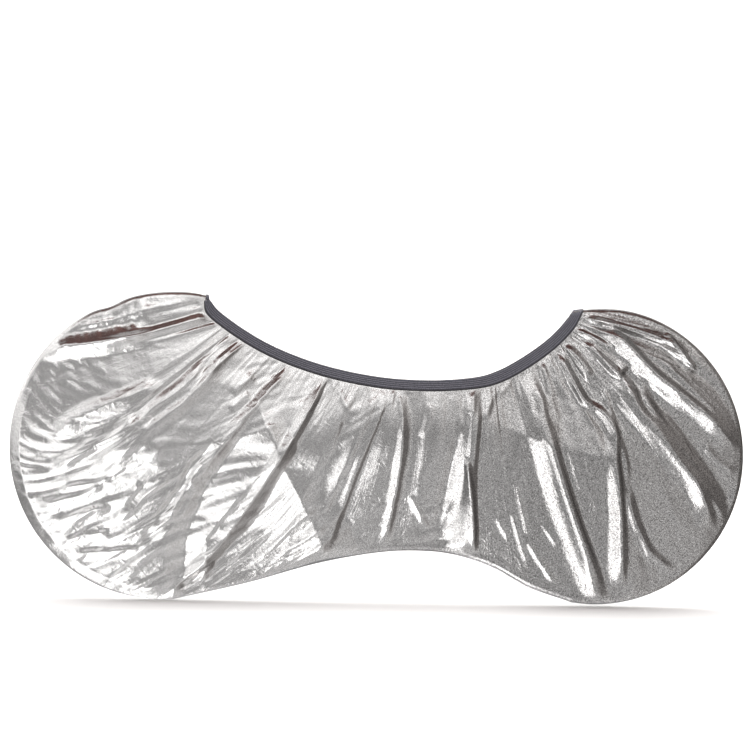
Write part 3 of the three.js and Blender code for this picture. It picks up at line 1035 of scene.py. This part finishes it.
@dataclass
class Crumple:
    """Crinkles of coated cloth, by rule: facets in two sizes, and ridges that run with the folds."""

    seed: int
    pull_size: float = 0.034
    pull_stretch: float = 0.2
    pull_height: float = 0.0010
    pull_mean: float = 0.8
    facet_size: float = 0.044
    facet_height: float = 0.0190
    small_size: float = 0.020
    small_height: float = 0.0085
    facet_mean: float = 0.15
    sway: float = 0.030
    sway_scale: float = 7.0
    stretch: float = 0.30

    def inputs(self) -> dict[str, float]:
        """The tree's inputs by name."""
        return {
            "Pull Size": self.pull_size,
            "Pull Stretch": self.pull_stretch,
            "Pull Height": self.pull_height,
            "Facet Size": self.facet_size,
            "Facet Height": self.facet_height,
            "Small Size": self.small_size,
            "Small Height": self.small_height,
            "Sway": self.sway,
            "Stretch": self.stretch,
            "Seed": float(self.seed),
        }

    def tree(self, finish: Material) -> NodeTree:
        """Builds the node tree.

        Args:
            finish: Material of the result.

        Returns:
            The tree.
        """
        tree, given = open_tree("Crumple", self.inputs())
        math_node, vector_node, noise = "ShaderNodeMath", "ShaderNodeVectorMath", "ShaderNodeTexNoise"
        read, combine = "GeometryNodeInputNamedAttribute", "ShaderNodeCombineXYZ"
        flow = add_node(tree, read, {"Name": "flow"}, data_type="FLOAT_VECTOR")
        loose = add_node(tree, read, {"Name": "loose"}, data_type="FLOAT")
        drawn = add_node(tree, combine, {"X": 1.0, "Y": given["Pull Stretch"], "Z": 0.0})
        pulled = add_node(tree, vector_node, {0: flow, 1: drawn}, operation="MULTIPLY")
        scale = add_node(tree, math_node, {0: 1.0, 1: given["Pull Size"]}, operation="DIVIDE")
        inputs = {"Vector": pulled, "W": given["Seed"], "Scale": scale, "Detail": 1.0, "Roughness": 0.5}
        pull = add_node(tree, noise, inputs, noise_dimensions="4D", noise_type="RIDGED_MULTIFRACTAL")
        level = add_node(tree, math_node, {0: pull, 1: -self.pull_mean}, operation="ADD")
        total = add_node(tree, math_node, {0: level, 1: given["Pull Height"]}, operation="MULTIPLY")
        place = add_node(tree, "GeometryNodeInputPosition")
        inputs = {"Vector": place, "W": given["Seed"], "Scale": self.sway_scale, "Detail": 0.0}
        wander = add_node(tree, noise, inputs, noise_dimensions="4D").outputs["Color"]
        middle = add_node(tree, vector_node, {0: wander, 1: (0.5, 0.5, 0.5)}, operation="SUBTRACT")
        swayed = add_node(tree, vector_node, {0: middle, "Scale": given["Sway"]}, operation="SCALE")
        moved = add_node(tree, vector_node, {0: flow, 1: swayed}, operation="ADD")
        long = add_node(tree, combine, {"X": 0.0, "Y": given["Stretch"], "Z": 1.0})
        bent = add_node(tree, vector_node, {0: moved, 1: long}, operation="MULTIPLY")
        for size in ("Facet", "Small"):
            scale = add_node(tree, math_node, {0: 1.0, 1: given[f"{size} Size"]}, operation="DIVIDE")
            inputs = {"Vector": bent, "W": given["Seed"], "Scale": scale}
            facet = add_node(
                tree, "ShaderNodeTexVoronoi", inputs, voronoi_dimensions="4D", feature="DISTANCE_TO_EDGE"
            ).outputs["Distance"]
            level = add_node(tree, math_node, {0: facet, 1: -self.facet_mean}, operation="ADD")
            raised = add_node(tree, math_node, {0: level, 1: given[f"{size} Height"]}, operation="MULTIPLY")
            total = add_node(tree, math_node, {0: total, 1: raised}, operation="ADD")
        held = add_node(tree, math_node, {0: total, 1: loose}, operation="MULTIPLY")
        normal = add_node(tree, "GeometryNodeInputNormal")
        offset = add_node(tree, vector_node, {0: normal, "Scale": held}, operation="SCALE")
        inputs = {"Geometry": given["Geometry"], "Offset": offset}
        close_tree(tree, add_node(tree, "GeometryNodeSetPosition", inputs), finish)
        return tree

    def apply(self, piece: Object, finish: Material) -> Object:
        """Crumples a sheet that has the attributes flow and loose, and leaves it a plain mesh."""
        return run_nodes(piece, self.tree(finish), self.inputs())


@dataclass
class MouthBinding:
    """Ribbed elastic tape, folded in half over the raw edge of the mouth."""

    cut: Cut
    name: str = "elastic_binding"
    node: str = "mouth_binding"
    stations: int = 260
    end_crowding: float = 0.35
    outer: float = 0.00255
    slot: float = 0.00105
    slot_top: float = 0.0035
    edge_round: float = 0.0007
    leg_rows: int = 6
    leg_top: float = 2.2
    fold_points: int = 9
    tip_length: float = 0.050
    tip_share: float = 0.30

    def section(self) -> Array:
        """Draws the folded tape's section.

        Returns:
            Points as (depth, out): two legs with round ends and a slot between them.
        """
        width, out, slot, r = self.cut.binding_width, self.outer, self.slot, self.edge_round
        turn = np.radians(np.linspace(0, 180, self.fold_points))
        top = np.stack([out - out * np.sin(turn), out * np.cos(turn)], -1)
        rows = np.linspace(width - r, self.leg_top * out, self.leg_rows)[:, None]
        outside = np.concatenate([rows, np.full_like(rows, out)], 1)
        inside = outside[::-1] * (1, -1)
        legs = [(width, -out + r), (width, -slot - r), (width - r, -slot), (self.slot_top, -slot)]
        back = [(d, -o) for d, o in reversed(legs)]
        return np.concatenate([outside, top, inside, legs, back])

    def frames(self, side: Side) -> tuple[Array, Array, Array]:
        """Finds where the tape lies on one side.

        Args:
            side: Near or far.

        Returns:
            Points of its top edge, ways down and outward normals, from the front crown to the rear crown.
        """
        cut = self.cut
        share = np.linspace(0, 1, self.stations)
        share = share - self.end_crowding * np.sin(2 * np.pi * share) / (2 * np.pi)
        x = np.interp(share * cut.rim.length, cut.rim.lengths, cut.rim.points[:, 0])
        places = []
        for plane, below in ((cut.rim.at_x(x), 0.0), (cut.mouth_edge(x), -cut.binding_width)):
            half = cut.half_width(plane, np.full(len(x), below))
            half[0] = half[-1] = 0
            places.append(stand_off(plane, half, side))
        low, top = places
        from_tip = np.linalg.norm((low - low[0])[:, [0, 2]], axis=1) / self.tip_length
        down = (low - top) / cut.binding_width
        down *= mix(self.tip_share, 1.0, smooth_step(from_tip))[:, None]
        along = np.gradient(top, axis=0)
        along[0] = along[-1] = (0, side.value, 0)
        along[0] *= -1
        normal = np.cross(down, along) * -side.value
        normal /= np.linalg.norm(normal, axis=1, keepdims=True)
        return top, down, normal

    def build(self, finish: Material) -> Object:
        """Makes the tape.

        Args:
            finish: Its material.

        Returns:
            The binding, at its place.
        """
        near, far = self.frames(Side.NEAR), self.frames(Side.FAR)
        top, down, normal = (np.concatenate([a, b[-2:0:-1]]) for a, b in zip(near, far))
        section = self.section()
        depth, out = section[:, 0][None, :, None], section[:, 1][None, :, None]
        points = top[:, None] + down[:, None] * depth + normal[:, None] * out
        rings, size = points.shape[:2]
        number = np.arange(rings * size).reshape(rings, size)
        onward = np.roll(number, -1, 0)
        quads = np.stack([number, onward, np.roll(onward, -1, 1), np.roll(number, -1, 1)], -1)
        mesh = bpy.data.meshes.new(self.name)
        mesh.from_pydata(points.reshape(-1, 3).tolist(), [], quads.reshape(-1, 4).tolist())
        ribs = np.stack(np.broadcast_arrays(run_lengths(top)[:, None], section[:, 0][None], 0.0), -1)
        mesh.attributes.new("ribs", "FLOAT_VECTOR", "POINT").data.foreach_set("vector", ribs.ravel())
        mesh.materials.append(finish)
        mesh.shade_smooth()
        piece = link(mesh)
        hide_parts(self.node)
        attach(piece, BODY)
        return piece


@dataclass
class StitchRow:
    """Lock stitches near the lower edge of the binding, on both sides, which hold it on the cloth."""

    binding: MouthBinding
    name: str = "binding_stitches"
    depth: float = 0.0205
    pitch: float = 0.0048
    length: float = 0.0036
    thread: float = 0.0009
    uneven: float = 0.15
    clear_ends: int = 8
    seed: int = 3

    def path(self) -> Object:
        """Draws the two lines that the stitches follow.

        Returns:
            An object of edges on the outside of the tape.
        """
        points, edges = [], []
        for side in Side:
            frames = self.binding.frames(side)
            top, down, normal = (part[self.clear_ends : -self.clear_ends] for part in frames)
            line = top + down * self.depth + normal * self.binding.outer
            first = len(points)
            points += line.tolist()
            edges += [(first + i, first + i + 1) for i in range(len(line) - 1)]
        mesh = bpy.data.meshes.new(self.name)
        mesh.from_pydata(points, edges, [])
        return link(mesh)

    def inputs(self) -> dict[str, float | int]:
        """The tree's inputs by name."""
        return {
            "Pitch": self.pitch,
            "Length": self.length,
            "Thread": self.thread,
            "Uneven": self.uneven,
            "Seed": self.seed,
        }

    def tree(self, finish: Material) -> NodeTree:
        """Builds the node tree that sets one stitch at each step of a line.

        Args:
            finish: The thread's material.

        Returns:
            The tree.
        """
        tree, given = open_tree("Stitches", self.inputs())
        line = add_node(tree, "GeometryNodeMeshToCurve", {0: given["Geometry"]})
        inputs = {"Curve": line, "Length": given["Pitch"]}
        steps = add_node(tree, "GeometryNodeResampleCurve", inputs, mode="LENGTH")
        bead = add_node(tree, "GeometryNodeMeshUVSphere", {"Segments": 6, "Rings": 4, "Radius": 0.5})
        thick = given["Thread"]
        size = add_node(tree, "ShaderNodeCombineXYZ", {"X": thick, "Y": thick, "Z": given["Length"]})
        stitch = add_node(tree, "GeometryNodeTransform", {"Geometry": bead, "Scale": size})
        way = add_node(tree, "GeometryNodeInputTangent")
        turn = add_node(tree, "FunctionNodeAlignRotationToVector", {"Vector": way}, axis="Z")
        least = add_node(tree, "ShaderNodeMath", {0: 1.0, 1: given["Uneven"]}, operation="SUBTRACT")
        inputs = {"Min": least, "Max": 1.0, "Seed": given["Seed"]}
        scale = add_node(tree, "FunctionNodeRandomValue", inputs, data_type="FLOAT").outputs["Value"]
        inputs = {"Points": steps, "Instance": stitch, "Rotation": turn, "Scale": scale}
        close_tree(tree, add_node(tree, "GeometryNodeInstanceOnPoints", inputs), finish)
        return tree

    def build(self, finish: Material) -> Object:
        """Makes the stitches.

        Args:
            finish: The thread's material.

        Returns:
            The stitches as one piece.
        """
        piece = run_nodes(self.path(), self.tree(finish), self.inputs())
        piece.data.shade_smooth()
        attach(piece, BODY)
        return piece


@dataclass(frozen=True)
class SewingThread:
    """Spun polyester thread, matte and a little paler than the tape, so that the stitches show."""

    colour: str = "#66656e"
    roughness: float = 0.6

    def build(self) -> Material:
        """Makes the material.

        Returns:
            The thread's material.
        """
        material, _, shader = new_material("polyester_thread")
        shader.inputs["Base Color"].default_value = linear(self.colour)
        shader.inputs["Roughness"].default_value = self.roughness
        return material


@dataclass(frozen=True)
class MetallicCloth:
    """Polyester cloth with a hot-pressed aluminium coating.

    The coating gives bright mirror lights with crisp edges, which the fine weave breaks into sparkle.
    Towards the rear more of the grain is painted its dark grey, as painted shade that darkens the rear of
    the cloth.
    """

    coat: str = "#d9d7d6"
    # The grain's dark grey, and how much of it shows from front to rear: more towards the rear, as painted
    # shade.
    dark_grain_and_shade: str = "#605d5c"
    rear_shade: Point = (0.25, 0.9)
    rear_shade_reach: Point = (-0.35, 0.35)
    roughness: float = 0.17
    roughness_spread: float = 0.06
    grain: float = 0.0014
    grain_range: Point = (0.35, 0.65)
    grain_depth: float = 0.00015
    crinkle: float = 0.016
    crinkle_depth: float = 0.0005
    streak: float = 0.008
    streak_length: float = 0.110
    streak_depth: float = 0.00022

    def build(self) -> Material:
        """Makes the material.

        Returns:
            The cloth's material.
        """
        material, tree, shader = new_material("aluminium_coated_polyester")
        noise, span, ridged = "ShaderNodeTexNoise", "ShaderNodeMapRange", "RIDGED_MULTIFRACTAL"
        place = add_node(tree, "ShaderNodeTexCoord").outputs["Object"]
        # The weave is under 1 mm, too fine to show, so its sparkle is drawn as grains of 1.4 mm.
        grain = add_node(tree, noise, {"Vector": place, "Scale": 1 / self.grain, "Detail": 0.0})
        sizes = {"Scale": 1 / self.crinkle, "Detail": 2.0, "Roughness": 0.5, "Distortion": 0.6}
        crinkle = add_node(tree, noise, {"Vector": place, **sizes}, noise_type=ridged)
        flow = add_node(tree, "ShaderNodeAttribute", attribute_name="flow").outputs["Vector"]
        pattern = (1 / self.streak, 1 / self.streak_length, 0.0)
        drawn = add_node(tree, "ShaderNodeVectorMath", {0: flow, 1: pattern}, operation="MULTIPLY")
        sizes = {"Scale": 1.0, "Detail": 1.0, "Roughness": 0.5, "Distortion": 0.4}
        streak = add_node(tree, noise, {"Vector": drawn, **sizes}, noise_type=ridged)
        low, high = self.grain_range
        speck = add_node(tree, span, {"Value": grain, "From Min": low, "From Max": high})
        along = add_node(tree, "ShaderNodeSeparateXYZ", {0: place})
        # Painted shade: the grain's dark grey shows more towards the rear, which darkens the rear of the
        # cloth.
        (front, rear), (least, most) = self.rear_shade_reach, self.rear_shade
        inputs = {"Value": along, "From Min": front, "From Max": rear, "To Min": least, "To Max": most}
        rear_shade = add_node(tree, span, inputs)
        bare = add_node(tree, "ShaderNodeMath", {0: 1.0, 1: speck}, operation="SUBTRACT")
        shown = add_node(tree, "ShaderNodeMath", {0: bare, 1: rear_shade}, operation="MULTIPLY")
        inputs = {0: shown, 6: linear(self.coat), 7: linear(self.dark_grain_and_shade)}
        colour = add_node(tree, "ShaderNodeMix", inputs, data_type="RGBA").outputs[2]
        rough, spread = self.roughness, self.roughness_spread
        gloss = add_node(tree, span, {"Value": speck, "To Min": rough + spread, "To Max": rough - spread})
        reliefs = ((crinkle, self.crinkle_depth), (streak, self.streak_depth), (grain, self.grain_depth))
        under: dict[str, Node] = {}
        for height, depth in reliefs:
            bump = add_node(tree, "ShaderNodeBump", {"Height": height, "Distance": depth, **under})
            under = {"Normal": bump}
        tree.links.new(colour, shader.inputs["Base Color"])
        tree.links.new(gloss.outputs[0], shader.inputs["Roughness"])
        tree.links.new(bump.outputs[0], shader.inputs["Normal"])
        shader.inputs["Metallic"].default_value = 1.0
        return material


@dataclass(frozen=True)
class ElasticTape:
    """Woven elastic tape of polyester over rubber: matte, with fine ribs along it and dark edges."""

    yarn: str = "#6b6a74"
    # The colour painted into the hollows between the ribs, as painted shade.
    shade: str = "#39383e"
    edge: str = "#26252a"
    width: float = 0.025
    rib: float = 0.0042
    rib_depth: float = 0.0004
    bands_per_unit: float = 3.2
    knit: float = 0.0028
    light_range: Point = (0.12, 0.44)
    edges: Ramp = ((0.0, 1.0), (0.10, 0.0), (0.84, 0.0), (0.94, 1.0))
    roughness: float = 0.78
    sheen: float = 0.25

    def build(self) -> Material:
        """Makes the material.

        Returns:
            The tape's material.
        """
        material, tree, shader = new_material("woven_elastic")
        span, mixed = "ShaderNodeMapRange", "ShaderNodeMix"
        place = add_node(tree, "ShaderNodeAttribute", attribute_name="ribs").outputs["Vector"]
        # The ribs are about 1 mm apart and are drawn at 4.2 mm, and the knit at 2.8 mm, which shows.
        # At a scale of 1 the texture has about 3.2 bands in a metre.
        scale = 1 / self.rib / self.bands_per_unit
        inputs = {"Vector": place, "Scale": scale, "Distortion": 0.5, "Detail": 1.0, "Detail Scale": 2.0}
        bands = add_node(tree, "ShaderNodeTexWave", inputs, wave_type="BANDS", bands_direction="Y")
        inputs = {"Vector": place, "Scale": 1 / self.knit, "Detail": 0.0}
        knit = add_node(tree, "ShaderNodeTexNoise", inputs)
        inputs = {0: bands.outputs["Fac"], 1: knit}
        height = add_node(tree, "ShaderNodeMath", inputs, operation="MULTIPLY")
        # Painted shade: the hollows between the ribs get the darker shade colour and the rib tops the yarn
        # colour, mottled by the knit.
        low, high = self.light_range
        light = add_node(tree, span, {"Value": height, "From Min": low, "From Max": high})
        inputs = {0: light, 6: linear(self.shade), 7: linear(self.yarn)}
        colour = add_node(tree, mixed, inputs, data_type="RGBA").outputs[2]
        depth = add_node(tree, "ShaderNodeSeparateXYZ", {0: place}).outputs["Y"]
        across = add_node(tree, span, {"Value": depth, "From Max": self.width})
        sides = add_node(tree, "ShaderNodeValToRGB", {"Fac": across})
        fill_ramp(sides, self.edges)
        inputs = {0: sides, 6: colour, 7: linear(self.edge)}
        edged = add_node(tree, mixed, inputs, data_type="RGBA").outputs[2]
        bump = add_node(tree, "ShaderNodeBump", {"Height": height, "Distance": self.rib_depth})
        tree.links.new(edged, shader.inputs["Base Color"])
        tree.links.new(bump.outputs[0], shader.inputs["Normal"])
        shader.inputs["Roughness"].default_value = self.roughness
        shader.inputs["Sheen Weight"].default_value = self.sheen
        return material


class Way(Enum):
    """A way through the room, along which its tones change."""

    RIGHT = (1.0, 0.0, 0.0)
    BACK = (0.0, 1.0, 0.0)
    UP = (0.0, 0.0, 1.0)
    UP_RIGHT = (0.7, 0.0, 0.71)
    DOWN_RIGHT = (0.4, 0.0, -0.92)


@dataclass(frozen=True)
class Room:
    """The room that the cloth mirrors: bright on the left, grey ahead, brown above, dark on the right.

    Each run of tones has a name, a way through the room, and stops from -1 to 1 along that way. Each blend
    has a name, a kind and the two tones that it joins.
    """

    runs: tuple[tuple[str, Way, Ramp], ...] = (
        (
            "across",
            Way.RIGHT,
            (
                (-0.95, 0.13), (-0.78, 0.15), (-0.66, 0.15),
                (-0.46, 0.100), (-0.35, 0.112), (-0.20, 0.155),
                (-0.10, 0.205), (0.0, 0.17), (0.06, 0.15), (0.13, 0.15), (0.22, 0.145),
                (0.30, 0.11), (0.42, 0.0),
            ),
        ),
        (
            "upward",
            Way.UP,
            (
                (-0.8, 0.60), (-0.4, 0.32), (0.0, 0.36), (0.15, 0.44), (0.35, 0.72),
                (0.52, 1.35), (0.70, 1.50),
                (0.80, (0.65, 0.64, 0.64)),
            ),
        ),
        (
            "right",
            Way.RIGHT,
            (
                (0.02, 0.0), (0.10, 0.16), (0.16, 0.24), (0.22, 0.12), (0.28, 0.29), (0.34, 0.13),
                (0.42, (0.31, 0.308, 0.306)), (0.50, (0.12, 0.118, 0.116)), (0.58, (0.20, 0.196, 0.194)),
                (0.72, (0.07, 0.066, 0.064)),
            ),
        ),
        (
            "right_upward",
            Way.UP,
            (
                (-0.8, 0.55), (-0.3, 0.44), (0.0, 0.40), (0.15, 0.46), (0.35, (0.72, 0.718, 0.716)),
                (0.6, (0.58, 0.576, 0.574)), (0.8, (0.38, 0.372, 0.370)),
            ),
        ),
        (
            "glow",
            Way.UP_RIGHT,
            ((-0.95, 0.14), (-0.80, 0.20), (-0.70, 0.90), (-0.38, 0.85), (-0.30, 0.24), (-0.24, 0.11)),
        ),
        ("not_right", Way.RIGHT, ((-0.68, 0.35), (-0.52, 1.0), (-0.14, 1.0), (-0.07, 0.0))),
        (
            "ceiling",
            Way.UP,
            ((0.70, 1.0), (0.78, (0.30, 0.20, 0.185)), (0.985, (0.22, 0.125, 0.112)), (1.0, 0.35)),
        ),
        ("left_wall", Way.RIGHT, ((-0.68, 1.0), (-0.60, 0.0))),
        ("overhead", Way.BACK, ((0.02, 0.0), (0.16, 1.0))),
        (
            "behind",
            Way.BACK,
            ((0.18, 1.0), (0.30, (0.16, 0.16, 0.18)), (0.46, (0.30, 0.30, 0.32)), (0.66, 1.0)),
        ),
        ("not_below", Way.DOWN_RIGHT, ((-0.05, 1.0), (0.15, 0.0))),
    )
    blends: tuple[tuple[str, str, str, str], ...] = (
        ("front", "MULTIPLY", "across", "upward"),
        ("side", "MULTIPLY", "right", "right_upward"),
        ("walls", "LIGHTEN", "front", "side"),
        ("lamp", "MULTIPLY", "glow", "not_right"),
        ("light", "LIGHTEN", "lamp", "ambient"),
        ("lit", "MULTIPLY", "walls", "light"),
        ("beam", "LIGHTEN", "ceiling", "left_wall"),
        ("brown", "LIGHTEN", "beam", "overhead"),
        ("roofed", "MULTIPLY", "lit", "brown"),
        ("shade", "LIGHTEN", "behind", "not_below"),
        ("room", "MULTIPLY", "roofed", "shade"),
    )
    ambient: float = 0.118
    strength: float = 64.0

    def build(self) -> None:
        """Makes the room and lights the scene with it."""
        world = bpy.data.worlds.new("studio")
        world.use_nodes = True
        tree = world.node_tree
        ray = add_node(tree, "ShaderNodeTexCoord").outputs["Generated"]
        tones: dict[str, object] = {"ambient": (self.ambient, self.ambient, self.ambient, 1.0)}
        for name, way, stops in self.runs:
            part = add_node(tree, "ShaderNodeVectorMath", {0: ray, 1: way.value}, operation="DOT_PRODUCT")
            inputs = {"Value": part.outputs["Value"], "From Min": -1.0, "From Max": 1.0}
            share = add_node(tree, "ShaderNodeMapRange", inputs)
            ramp = add_node(tree, "ShaderNodeValToRGB", {"Fac": share})
            fill_ramp(ramp, tuple(((at + 1) / 2, tone) for at, tone in stops))
            tones[name] = ramp.outputs[0]
        for name, blend, first, second in self.blends:
            inputs = {0: 1.0, 6: tones[first], 7: tones[second]}
            mixed = add_node(tree, "ShaderNodeMix", inputs, data_type="RGBA", blend_type=blend)
            tones[name] = mixed.outputs[2]
        background = tree.nodes["Background"].inputs
        tree.links.new(tones["room"], background["Color"])
        background["Strength"].default_value = self.strength
        bpy.context.scene.world = world


@dataclass(frozen=True)
class Softbox:
    """An area light: where it stands, what it points at, its width and height, and its watts."""

    name: str
    place: Place
    aim: Place
    size: Point
    power: float

    def build(self) -> None:
        """Adds the light, which the cloth doesn't mirror."""
        light = bpy.data.lights.new(self.name, "AREA")
        light.shape = "RECTANGLE"
        light.size, light.size_y = self.size
        light.energy = self.power
        lamp = bpy.data.objects.new(self.name, light)
        lamp.location = self.place
        lamp.visible_glossy = False
        lamp.rotation_euler = (Vector(self.aim) - Vector(self.place)).to_track_quat("-Z", "Y").to_euler()
        bpy.context.collection.objects.link(lamp)


@dataclass
class Studio:
    """A pale floor that sweeps up into a backdrop, soft lights, and the camera."""

    target: Place = (-0.0185, 0.0, 0.5187)
    distance: float = 3.6
    yaw: float = 3.92
    height: float = 0.497
    roll: float = 1.447
    lens: float = 75.4
    sensor: float = 36.0
    floor_colour: str = "#f4f3f2"
    floor_roughness: float = 0.9
    floor_front: float = -1.75
    floor_depth: float = 2.4
    floor_half: float = 6.0
    sweep: float = 1.2
    sweep_points: int = 25
    wall: float = 5.0
    lights: tuple[Softbox, ...] = (
        Softbox("top_box", (0.0, 0.3, 3.4), (0.0, 0.3, 0.0), (4.0, 1.6), 130),
        Softbox("backdrop_box", (0.0, 1.6, 3.0), (0.0, 3.6, 1.2), (5.0, 1.0), 90),
    )

    def floor(self) -> None:
        """Makes the floor, from in front of the camera to a backdrop behind the object."""
        angle = np.radians(np.linspace(0, 90, self.sweep_points))
        back = self.floor_depth + self.sweep * np.sin(angle)
        rise = self.sweep - self.sweep * np.cos(angle)
        profile = [(self.floor_front, 0.0), *zip(back, rise), (self.floor_depth + self.sweep, self.wall)]
        points = [(x, y, z) for y, z in profile for x in (-self.floor_half, self.floor_half)]
        faces = [(2 * i, 2 * i + 1, 2 * i + 3, 2 * i + 2) for i in range(len(profile) - 1)]
        mesh = bpy.data.meshes.new("floor")
        mesh.from_pydata(points, [], faces)
        mesh.shade_smooth()
        material, _, shader = new_material("matte_paper")
        shader.inputs["Base Color"].default_value = linear(self.floor_colour)
        shader.inputs["Roughness"].default_value = self.floor_roughness
        mesh.materials.append(material)
        floor = link(mesh)
        # The cloth mirrors the room and not the floor, as it would on a stand.
        floor.visible_glossy = False

    def camera(self) -> None:
        """Sets the camera at the photograph's angle."""
        yaw = math.radians(self.yaw)
        target = Vector(self.target)
        x = target.x - self.distance * math.sin(yaw)
        place = Vector((x, -self.distance * math.cos(yaw), self.height))
        data = bpy.data.cameras.new("camera")
        data.lens = self.lens
        data.sensor_width = self.sensor
        camera = bpy.data.objects.new("camera", data)
        turn = (target - place).to_track_quat("-Z", "Y").to_matrix().to_4x4()
        roll = Matrix.Rotation(math.radians(self.roll), 4, "Z")
        camera.matrix_world = Matrix.Translation(place) @ turn @ roll
        bpy.context.collection.objects.link(camera)
        bpy.context.scene.camera = camera
        bpy.context.scene.view_settings.view_transform = "Standard"

    def build(self) -> None:
        """Sets up the floor, the room, the lights and the camera."""
        self.floor()
        Room().build()
        for light in self.lights:
            light.build()
        self.camera()


def main() -> None:
    """Builds the cover piece by piece and sets up the studio."""
    logging.basicConfig(level=logging.INFO, format="%(name)s: %(message)s")
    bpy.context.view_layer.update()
    cut = Cut()
    cloth = MetallicCloth().build()
    creases = NEAR_CREASES + NEAR_FACETS
    near = SidePanel("cloth_panel_near", "panel_near", Side.NEAR, cut, NEAR_FOLDS, creases, seed=7)
    far = SidePanel("cloth_panel_far", "panel_far", Side.FAR, cut, FAR_FOLDS, (), seed=19)
    binding = MouthBinding(cut)
    pieces = (
        near.build(cloth),
        far.build(cloth),
        binding.build(ElasticTape().build()),
        StitchRow(binding).build(SewingThread().build()),
    )
    for piece in pieces:
        LOG.info("%s has %d faces", piece.name, len(piece.data.polygons))
    Studio().build()


if __name__ == "__main__":
    main()
